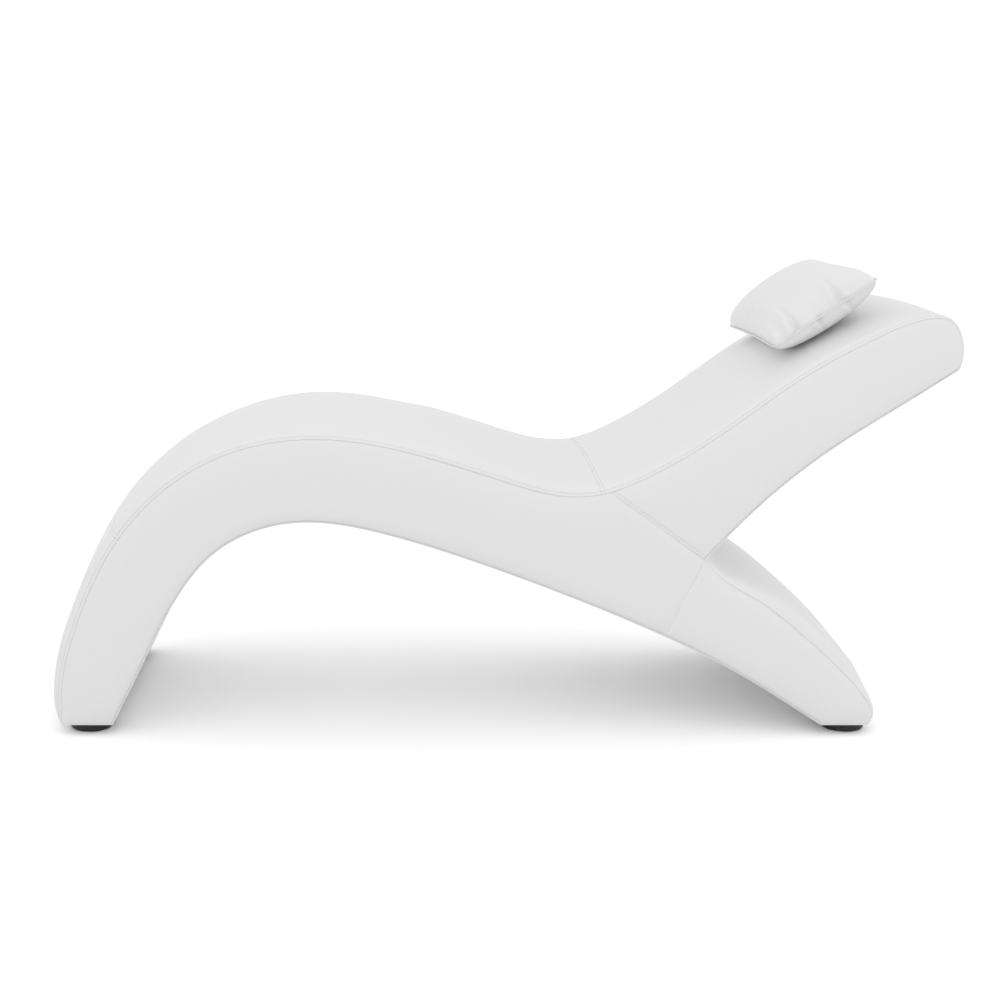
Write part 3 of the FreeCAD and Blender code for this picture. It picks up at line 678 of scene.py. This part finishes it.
def dress(cover, *nodes, fill=0.9):
    """Puts a finished cover of the lounger in the place of its nodes."""
    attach(cover, "lounger")
    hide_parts(*nodes)


class LOUNGER_OT_deck_covers(bpy.types.Operator):
    """Makes the four padded covers of the deck and the one over the rear leg"""
    bl_idname = "lounger.deck_covers"
    bl_label = "Deck covers"

    def execute(self, context):
        shift = sizes().lap / 2
        deck = Padding(DECK, "leg_cover", "seat_cover", "back_cover", "head_cover",
                       fuller=FULLNESS)
        knee, waist, head = (seam_place(name, DECK) - shift
                             for name in ("leg_cover", "seat_cover", "back_cover"))
        head += sizes().head_seam
        leg = Padding(LEG, "rear_leg_cover", fuller=LEG_FULLNESS, flatter=0.55)
        covers = (
            ("leg_upholstery", "leg_cover", deck, 0.0, knee, ((26 * MM, 0), (0, 1)), None),
            ("seat_upholstery", "seat_cover", deck, knee, waist, ((0, 1), (0, 1)), 0),
            ("back_upholstery", "back_cover", deck, waist, head, ((0, 1), (0, 0.3)), 0),
            ("head_upholstery", "head_cover", deck, head, DECK.length,
             ((0, 0.3), (12 * MM, 0)), None),
            ("rear_leg_upholstery", "rear_leg_cover", leg, 0.0, LEG.length,
             ((6 * MM, 0), (20 * MM, 0)), None),
        )
        for name, node, padding, first, last, ends, lap in covers:
            cover = padded_cover(name, padding, first, last, ends, lap, padding is deck)
            dress(cover, node)
        return {"FINISHED"}


def lip_row(line, first, last):
    """A row inside a lower edge, at the stitch's distance from it."""
    places = np.linspace(first, last, int((last - first) / (4 * MM)))
    return line.at(places) - line.outward(places) * sizes().lip


def laid(tree, row, side):
    """A row of stitches on the outer face of a side cover."""
    spots = []
    for x, z in row:
        hit = tree.ray_cast(Vector((x, side * (HALF + 0.05), z)), Vector((0, -side, 0)))[0]
        if hit is not None:
            spots.append((x, hit.y + side * 0.2 * MM, z))
    return spots


class LOUNGER_OT_side_covers(bpy.types.Operator):
    """Makes the three covers on each side, with their laps and lips"""
    bl_idname = "lounger.side_covers"
    bl_label = "Side covers"

    def execute(self, context):
        s = sizes()
        past_waist, before_tip = 15 * MM, 95 * MM
        waist_place = DECK.nearest(WAIST) + past_waist
        waist = DECK.at(waist_place)
        turn = DECK.places[np.argmax(DECK.at(DECK.places)[:, 0])] - before_tip
        under = ARCH.nearest(UNDER)
        seam = np.linspace(waist, NOTCH, 160)
        faint = np.linspace(NOTCH, UNDER, 120)
        way = (NOTCH - waist) / np.linalg.norm(NOTCH - waist)
        lap = seam[4:-6] + np.array([-way[1], way[0]]) * s.lap
        front_foot = np.linspace(TOE, ARCH_FRONT, 60)
        rear_foot = np.linspace(ARCH_REAR, HEEL, 60)
        # By part: the grid, the sewn edge, the lower edges, the cross seams, the laps, the lip.
        panels = {
            "front": (patch((ARCH, ARCH.length, under), (DECK, 0, waist_place),
                            (ARCH_FRONT, TOE), (UNDER, NOTCH, waist)),
                      dense(DECK, 0, waist_place),
                      np.concatenate([dense(ARCH, under), front_foot]),
                      np.concatenate([seam, faint]), [],
                      lip_row(ARCH, under + 4 * MM, ARCH.length - 4 * MM)),
            "back": (patch((UNDERSIDE, UNDERSIDE.length, 0), (DECK, waist_place, turn),
                           (NOTCH, waist), dense(DECK, turn)[::-1]),
                     dense(DECK, waist_place), dense(UNDERSIDE), seam, [lap],
                     lip_row(UNDERSIDE, 6 * MM, UNDERSIDE.length - 8 * MM)),
            "rear": (patch((ARCH, under, 0), (LEG, 0, LEG.length), (UNDER, NOTCH),
                           (ARCH_REAR, HEEL)),
                     dense(LEG), np.concatenate([dense(ARCH, 0, under), rear_foot]),
                     faint, [], lip_row(ARCH, 4 * MM, under - 4 * MM)),
        }
        raised = np.array([0, 0.7 * s.piping])
        piped = (ARCH.at(np.arange(1 * MM, ARCH.length, 4 * MM)),
                 UNDERSIDE.at(np.arange(2 * MM, UNDERSIDE.length - 2 * MM, 4 * MM)),
                 front_foot[2:] + raised, rear_foot[:-3] + raised)
        for hand, side in (("near", -1), ("far", 1)):
            for part, (grid, sewn, lower, cross, laps, lip) in panels.items():
                cover, tree = side_cover(f"side_upholstery_{hand}_{part}", side, grid, sewn,
                                         lower, cross, laps)
                dress(cover, f"side_cover_{hand}_{part}", fill=0.95)
                for row in laps + [lip]:
                    sew("lounger", laid(tree, row, side))
            for edge in piped:
                y = np.full(len(edge), side * (HALF - s.piping * 0.3))
                PIPES.setdefault("lounger", []).append(
                    (np.stack([edge[:, 0], y, edge[:, 1]], axis=-1), False))
        return {"FINISHED"}


def band(name, node, line):
    """A thin padded cover across the width, along a line."""
    half = INNER - 0.2 * MM
    places = spaced(line.length, 8 * MM, np.array([0, 1, 2, 4]) * MM)
    edge = np.array([0, 0.5, 1, 1.6, 2.4, 4, 7, 12, 20, 32]) * MM
    across = spaced(2 * half, 30 * MM, edge) - half
    gap = INNER - np.abs(across)
    lift = 1.4 * MM * (1 - np.exp(-gap / (14 * MM))) - drawn_in(gap, 0.8 * MM, 2 * MM)
    spots, out = line.at(places), line.outward(places)
    fade = np.clip(np.minimum(places, line.length - places) / (8 * MM), 0, 1)

    def sheet(height):
        """Points all over the band at heights above its line."""
        x, z = (spots[:, None, k] + out[:, None, k] * height for k in (0, 1))
        return np.stack([x, np.broadcast_to(across, x.shape), np.maximum(z, FLOOR)],
                        axis=-1)

    top = sheet(lift[None] * fade[:, None])
    low = sheet(np.full((1, len(across)), -1.9 * MM))
    points, faces = shell(top[::-1], low[::-1])
    dress(piece(name, points, faces, "coated_fabric"), node, fill=0.9)


def sole(name, node):
    """The cover under a foot, its edges turned over."""
    cover = piece(name, *triangles(node), "coated_fabric")
    weld = cover.modifiers.new("Weld", "WELD")
    weld.merge_threshold = 0.02 * MM
    turned = cover.modifiers.new("Turned edge", "BEVEL")
    turned.width = 0.7 * MM
    turned.segments = 2
    turned.angle_limit = math.radians(40)
    settle(cover)
    dress(cover, node, fill=1.0)


class LOUNGER_OT_under_covers(bpy.types.Operator):
    """Makes the covers under the arch and behind the backrest, and those under the feet"""
    bl_idname = "lounger.under_covers"
    bl_label = "Under covers"

    def execute(self, context):
        band("arch_upholstery", "arch_cover", ARCH)
        band("back_rear_upholstery", "back_rear_cover", UNDERSIDE)
        for foot in ("front", "rear"):
            sole(f"{foot}_foot_upholstery", f"{foot}_foot_cover")
        return {"FINISHED"}


def rule(name, *labels):
    """A geometry tree that takes rows of points and named numbers, as far as its curves.

    Gives the tree, its input sockets by label, the outputs of its input node and the curves.
    """
    tree = bpy.data.node_groups.new(name, "GeometryNodeTree")
    face = tree.interface
    face.new_socket("Geometry", in_out="OUTPUT", socket_type="NodeSocketGeometry")
    sockets = {}
    for label in ("Rows", *labels):
        kind = "Geometry" if label == "Rows" else "Float"
        sockets[label] = face.new_socket(label, in_out="INPUT",
                                         socket_type=f"NodeSocket{kind}").identifier
    given = add(tree, "NodeGroupInput").outputs
    curve = add(tree, "GeometryNodeMeshToCurve", {"Mesh": given["Rows"]})
    return tree, sockets, given, curve.outputs[0]


def stitch_rule():
    """A tree that lays stitches along the edges of a mesh."""
    tree, sockets, given, curve = rule("Stitches", "Pitch", "Length", "Thickness")
    spots = add(tree, "GeometryNodeCurveToPoints", {"Curve": curve, "Length": given["Pitch"]},
                mode="LENGTH")
    turn = add(tree, "FunctionNodeAlignRotationToVector",
               {"Vector": spots.outputs["Tangent"]}, axis="Z")
    thick, long = (add(tree, "ShaderNodeMath", {0: given[label], 1: 0.5},
                       operation="MULTIPLY").outputs[0] for label in ("Thickness", "Length"))
    scale = add(tree, "ShaderNodeCombineXYZ", {"X": thick, "Y": thick, "Z": long})
    bead = add(tree, "GeometryNodeMeshIcoSphere", {"Radius": 1.0, "Subdivisions": 1})
    laid = add(tree, "GeometryNodeInstanceOnPoints",
               {"Points": spots.outputs["Points"], "Instance": bead.outputs[0],
                "Rotation": turn.outputs[0], "Scale": scale.outputs[0]})
    real = add(tree, "GeometryNodeRealizeInstances", {0: laid.outputs[0]})
    add(tree, "NodeGroupOutput", {0: real.outputs[0]})
    return tree, sockets


def piping_rule():
    """A tree that rolls a round edge along the edges of a mesh."""
    tree, sockets, given, curve = rule("Piping", "Radius")
    ring = add(tree, "GeometryNodeCurvePrimitiveCircle",
               {"Resolution": 8, "Radius": given["Radius"]})
    roll = add(tree, "GeometryNodeCurveToMesh",
               {"Curve": curve, "Fill Caps": True, "Profile Curve": ring.outputs[0]})
    add(tree, "NodeGroupOutput", {0: roll.outputs[0]})
    return tree, sockets


def worked(name, rows, tree, sockets, look, **values):
    """A piece that a tree makes along rows of points, each closed or not."""
    points, edges = [], []
    for row, closed in rows:
        start, count = len(points), len(row)
        points += [tuple(p) for p in row]
        edges += [(start + i, start + (i + 1) % count) for i in range(count - 1 + closed)]
    mesh = bpy.data.meshes.new(name)
    mesh.from_pydata(points, edges, [])
    thing = added(name, mesh)
    work = thing.modifiers.new("Rule", "NODES")
    work.node_group = tree
    for label, value in values.items():
        work[sockets[label]] = value
    result = settle(thing)
    result.materials.clear()
    result.materials.append(finish(look))
    result.polygons.foreach_set("use_smooth", [True] * len(result.polygons))
    return thing


class LOUNGER_OT_stitching(bpy.types.Operator):
    """Lays the rows of stitches and the piped edges, one piece of each for a body"""
    bl_idname = "lounger.stitching"
    bl_label = "Stitching and piping"

    def execute(self, context):
        s = sizes()
        tree, sockets = stitch_rule()
        for body, rows in ROWS.items():
            sewing = worked(f"{body}_stitching", [(row, False) for row in rows], tree, sockets,
                            "thread", Pitch=s.pitch, Length=s.stitch, Thickness=s.thread)
            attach(sewing, body)
        tree, sockets = piping_rule()
        for body, rows in PIPES.items():
            look, radius = (("pillow_fabric", s.welt) if body == "pillow"
                            else ("coated_fabric", s.piping))
            roll = worked(f"{body}_piping", rows, tree, sockets, look, Radius=radius)
            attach(roll, body)
        return {"FINISHED"}


# Folds from the pillow's seam: place as a share of the half length, height, width and depth
# in millimetres, the side they are on (-1 near) and the face (1 upper).
FOLDS = ((-0.80, 60, 11, 7, -1, 1), (-0.52, 56, 8, 15, -1, 1), (0.32, 52, 8, 15, -1, 1),
         (-0.14, 34, 6, 13, -1, -1), (0.40, 30, 7, 10, -1, -1), (0.25, 54, 8, 13, 1, 1),
         (-0.45, 46, 8, 11, 1, 1))


def flat_case(half_long, half_wide, heights):
    """The case before it is filled: points, faces and the numbers of the seam's points."""
    nx, ny = (int(round(half / sizes().cell)) * 2 for half in (half_long, half_wide))
    a = np.linspace(-1, 1, nx + 1)[:, None]
    b = np.linspace(-1, 1, ny + 1)[None, :]
    pinch = 6 * MM      # how far the sides draw in between the corners
    corner = 1 - 0.03 * np.abs(a * b) ** 10
    x = a * (half_long - pinch * (1 - b ** 2)) * corner
    y = b * (half_wide - pinch * (1 - a ** 2)) * corner
    dome = ((1 - np.abs(a) ** 2.3) * (1 - np.abs(b) ** 3.6)) ** 0.37
    grids = [np.stack([x, y, dome * height * 0.93], axis=-1)
             for height in (heights[0], -heights[1])]
    index, spots, faces = {}, [], []

    def number(layer, i, j):
        edge = i in (0, nx) or j in (0, ny)
        key = (0 if edge else layer, i, j)
        if key not in index:
            index[key] = len(spots)
            spots.append(grids[layer][i, j])
        return index[key]

    for layer in (0, 1):
        for i in range(nx):
            for j in range(ny):
                quad = [number(layer, i, j), number(layer, i + 1, j),
                        number(layer, i + 1, j + 1), number(layer, i, j + 1)]
                faces.append(quad if layer == 0 else quad[::-1])
    round_trip = ([(i, 0) for i in range(nx)] + [(nx, j) for j in range(ny)]
                  + [(i, ny) for i in range(nx, 0, -1)]
                  + [(0, j) for j in range(ny, 0, -1)])
    return np.array(spots), faces, [index[0, i, j] for i, j in round_trip]


def inflate(context, cushion, seam, start):
    """The pillow's cloth after its filling has swollen it, with its seam held."""
    frames, most = 22, 8 * MM
    scene = context.scene
    cushion.vertex_groups.new(name="seam").add(seam, 1.0, "REPLACE")
    cloth = cushion.modifiers.new("Filling", "CLOTH")
    rules = cloth.settings
    for name, value in (("quality", 8), ("mass", 0.25), ("tension_stiffness", 25),
                        ("compression_stiffness", 25), ("shear_stiffness", 10),
                        ("bending_stiffness", 0.6), ("use_pressure", True),
                        ("uniform_pressure_force", sizes().pressure),
                        ("vertex_group_mass", "seam"), ("pin_stiffness", 1.0),
                        ("shrink_min", -0.004)):
        setattr(rules, name, value)
    rules.effector_weights.gravity = 0.0
    cloth.collision_settings.use_collision = False
    cloth.point_cache.frame_start, cloth.point_cache.frame_end = 1, frames
    for step in range(1, frames + 1):
        scene.frame_set(step)
    shape = coords(cushion.evaluated_get(context.evaluated_depsgraph_get()).data)
    cushion.modifiers.clear()
    cushion.vertex_groups.clear()
    scene.frame_set(1)
    move = shape - start
    far = np.linalg.norm(move, axis=1, keepdims=True)
    return start + move * np.minimum(1, most / np.maximum(far, 1e-9))


def crease(shape, half_long, half_wide, fold):
    """Presses a fold into the side of the pillow, narrowing away from its seam."""
    place, height, width, depth, hand, face = fold
    rise = shape[:, 2] * face / (height * MM)
    width = width * MM * (1.1 - 0.6 * np.clip(rise, 0, 1))
    across = shape[:, 0] - place * half_long
    dip = np.exp(-(across / width) ** 2)
    ridge = np.exp(-((across + width * 1.8) / (width * 1.2)) ** 2)
    fade = np.clip(rise / 0.12, 0, 1) * np.clip(1 - rise, 0, 1) ** 0.8
    flank = np.clip((shape[:, 1] * hand / half_wide - 0.55) / 0.2, 0, 1)
    press = depth * MM * (dip - 0.5 * ridge) * fade * flank
    shape[:, 1] -= hand * 0.8 * press
    shape[:, 2] -= face * 0.5 * press


def rest(world, up):
    """The pillow where it lies on the covers, pressed flat by them."""
    above, reach, gap_left = 0.15, 0.4, 0.5 * MM
    points, faces = [], []
    for name in ("back_upholstery", "head_upholstery"):
        mesh = bpy.data.objects[name].data
        count = len(points)
        points += [tuple(v.co) for v in mesh.vertices]
        faces += [[count + i for i in p.vertices] for p in mesh.polygons]
    tree = ray_tree(points, faces)
    for i, spot in enumerate(world):
        spot = Vector(spot)
        hit = tree.ray_cast(spot + Vector(up) * above, -Vector(up), reach)[0]
        gap = gap_left if hit is None else (spot - hit).dot(Vector(up))
        if gap < gap_left:
            world[i] += up * (gap_left - gap)
    return world


def welt(ring, up):
    """Keeps the pillow's seam for its folded edge, a thin roll all round."""
    way = np.roll(ring, -1, axis=0) - np.roll(ring, 1, axis=0)
    out = np.cross(way / np.linalg.norm(way, axis=1, keepdims=True), up)
    out /= np.linalg.norm(out, axis=1, keepdims=True)
    PIPES["pillow"] = [(ring + sizes().welt * (1.3 * out - 0.2 * up), True)]


class LOUNGER_OT_pillow(bpy.types.Operator):
    """Sews and fills the loose head pillow"""
    bl_idname = "lounger.pillow"
    bl_label = "Head pillow"

    def execute(self, context):
        s = sizes()
        points, _ = triangles("pillow_cover_top", "pillow_cover_bottom")
        half_wide = np.ptp(points[:, 1]) / 2
        rim = points[np.abs(points[:, 1]) > half_wide - 0.2 * MM]
        slope = np.polyfit(rim[:, 0], rim[:, 2], 1)[0]
        long = np.array([1, 0, slope]) / math.hypot(1, slope)
        up = np.array([-long[2], 0, long[0]])
        local = np.stack([points @ long, points[:, 1], points @ up], axis=-1)
        centre = (local.max(axis=0) + local.min(axis=0)) / 2
        half_long = np.ptp(local[:, 0]) / 2
        level = float(np.median(rim @ up))
        heights = local[:, 2].max() - level, level - local[:, 2].min() + s.belly
        start, faces, seam = flat_case(half_long, half_wide, heights)
        cushion = piece("pillow_upholstery", start, faces, "pillow_fabric", sharp=179)
        shape = inflate(context, cushion, seam, start)
        for face, height in zip((shape[:, 2] > 0, shape[:, 2] < 0), heights):
            reach = np.abs(shape[face, 2]).max()
            shape[face, 2] *= (height - 1.0 * MM) / reach
        mesh = cushion.data
        mesh.vertices.foreach_set("co", shape.ravel())
        mesh.update()
        sewn = set(seam)
        sharp = mesh.attributes.new("crease_edge", "FLOAT", "EDGE")
        sharp.data.foreach_set("value", [float(set(edge.vertices) <= sewn)
                                         for edge in mesh.edges])
        finer = cushion.modifiers.new("Finer", "SUBSURF")
        finer.levels = finer.render_levels = 1
        mesh = settle(cushion)
        spots = coords(mesh)
        for fold in FOLDS:
            crease(spots, half_long, half_wide, fold)

        def placed(spots):
            """Points of the pillow where it lies on the lounger."""
            world = (np.outer(spots[:, 0] + centre[0], long)
                     + np.outer(spots[:, 2] + level, up))
            world[:, 1] = spots[:, 1] + centre[1]
            return rest(world, up)

        mesh.vertices.foreach_set("co", placed(spots).ravel())
        mesh.update()
        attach(cushion, "pillow")
        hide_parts("pillow_filling", "pillow_cover_top", "pillow_cover_bottom")
        welt(placed(shape[seam]), up)
        return {"FINISHED"}


def seen(tree):
    """Whether the camera sees a surface, straight or in a mirror or through glass."""
    ray, factor = add(tree, "ShaderNodeLightPath").outputs, 0.0
    for kind in ("Camera", "Glossy", "Transmission"):
        factor = add(tree, "ShaderNodeMath", {0: factor, 1: ray[f"Is {kind} Ray"]},
                     operation="MAXIMUM").outputs[0]
    return factor


def floor_finish():
    """A white sweep, which the camera sees brighter, so that it goes to white."""
    look = bpy.data.materials.new("white_paper_sweep")
    tree = fresh_tree(look)
    gain = 1.24
    shade = tuple(gain * c for c in colours().floor) + (1.0,)
    paper = add(tree, "ShaderNodeBsdfDiffuse", {"Color": linear("#E9E9E9")})
    white = add(tree, "ShaderNodeBsdfDiffuse", {"Color": shade})
    mix = add(tree, "ShaderNodeMixShader",
              {0: seen(tree), 1: paper.outputs[0], 2: white.outputs[0]})
    add(tree, "ShaderNodeOutputMaterial", {"Surface": mix.outputs[0]})
    return look


def white_room(scene):
    """A white room, lighter in front; camera and mirror rays see it as pure white."""
    world = bpy.data.worlds.new("white_room")
    scene.world = world
    tree = fresh_tree(world)
    way = add(tree, "ShaderNodeTexCoord").outputs["Generated"]
    depth = add(tree, "ShaderNodeSeparateXYZ", {0: way}).outputs["Y"]
    front, back = 1.04, 0.85
    room = add(tree, "ShaderNodeMapRange",
               {"Value": depth, "From Min": -1.0, "To Min": front, "To Max": back})
    level = add(tree, "ShaderNodeMapRange",
                {"Value": seen(tree), "To Min": room.outputs[0], "To Max": 1.0})
    light = add(tree, "ShaderNodeBackground",
                {"Color": (1, 1, 1, 1), "Strength": level.outputs[0]})
    add(tree, "ShaderNodeOutputWorld", {"Surface": light.outputs[0]})


class LOUNGER_OT_stage(bpy.types.Operator):
    """Sets up the floor, the light and the camera"""
    bl_idname = "lounger.stage"
    bl_label = "Stage"

    def execute(self, context):
        scene, reach = context.scene, 40.0
        mesh = bpy.data.meshes.new("studio_floor")
        mesh.from_pydata([(x * reach, y * reach, 0) for x, y in
                          ((-1, -1), (1, -1), (1, 1), (-1, 1))], [], [(0, 1, 2, 3)])
        mesh.materials.append(floor_finish())
        floor = added("studio_floor", mesh)
        white_room(scene)
        lamp = bpy.data.lights.new("soft_box", "AREA")
        lamp.shape, lamp.size, lamp.size_y = "RECTANGLE", 3.0, 2.0
        lamp.energy = 4
        box = added("soft_box", lamp)
        box.location = (0.6, -3.0, 2.0)
        box.rotation_euler = (math.radians(62), 0, math.radians(10))
        camera = bpy.data.cameras.new("camera")
        camera.sensor_width, camera.lens, camera.shift_x = 36.0, 63.63, 0.11
        camera.clip_end = 5 * reach
        view = added("camera", camera)
        view.location = (-0.2146, -3.7483, 1.1334)
        tilt = 10.732
        view.rotation_euler = (math.radians(90 - tilt), 0, 0)
        scene.camera = view
        scene.view_settings.view_transform = "Standard"
        return {"FINISHED"}


class LOUNGER_PT_panel(bpy.types.Panel):
    """Lists the sizes, the colours and the steps"""
    bl_idname = "LOUNGER_PT_panel"
    bl_label = "Lounger"
    bl_space_type = "VIEW_3D"
    bl_region_type = "UI"
    bl_category = "Lounger"

    def draw(self, context):
        for group in (context.scene.lounger_sizes, context.scene.lounger_colours):
            box = self.layout.box()
            for name in group.__annotations__:
                box.prop(group, name)
        for step in STEPS:
            self.layout.operator(step.bl_idname)


STEPS = (LOUNGER_OT_finishes, LOUNGER_OT_deck_covers, LOUNGER_OT_side_covers,
         LOUNGER_OT_under_covers, LOUNGER_OT_pillow, LOUNGER_OT_stitching, LOUNGER_OT_stage)
CLASSES = (LoungerSizes, LoungerColours) + STEPS + (LOUNGER_PT_panel,)


def register():
    for item in CLASSES:
        bpy.utils.register_class(item)
    bpy.types.Scene.lounger_sizes = PointerProperty(type=LoungerSizes)
    bpy.types.Scene.lounger_colours = PointerProperty(type=LoungerColours)


def unregister():
    del bpy.types.Scene.lounger_colours, bpy.types.Scene.lounger_sizes
    for item in reversed(CLASSES):
        bpy.utils.unregister_class(item)


def main():
    """Makes the pieces in order."""
    register()
    for step in STEPS:
        group, action = step.bl_idname.split(".")
        getattr(getattr(bpy.ops, group), action)()


if __name__ == "__main__":
    main()
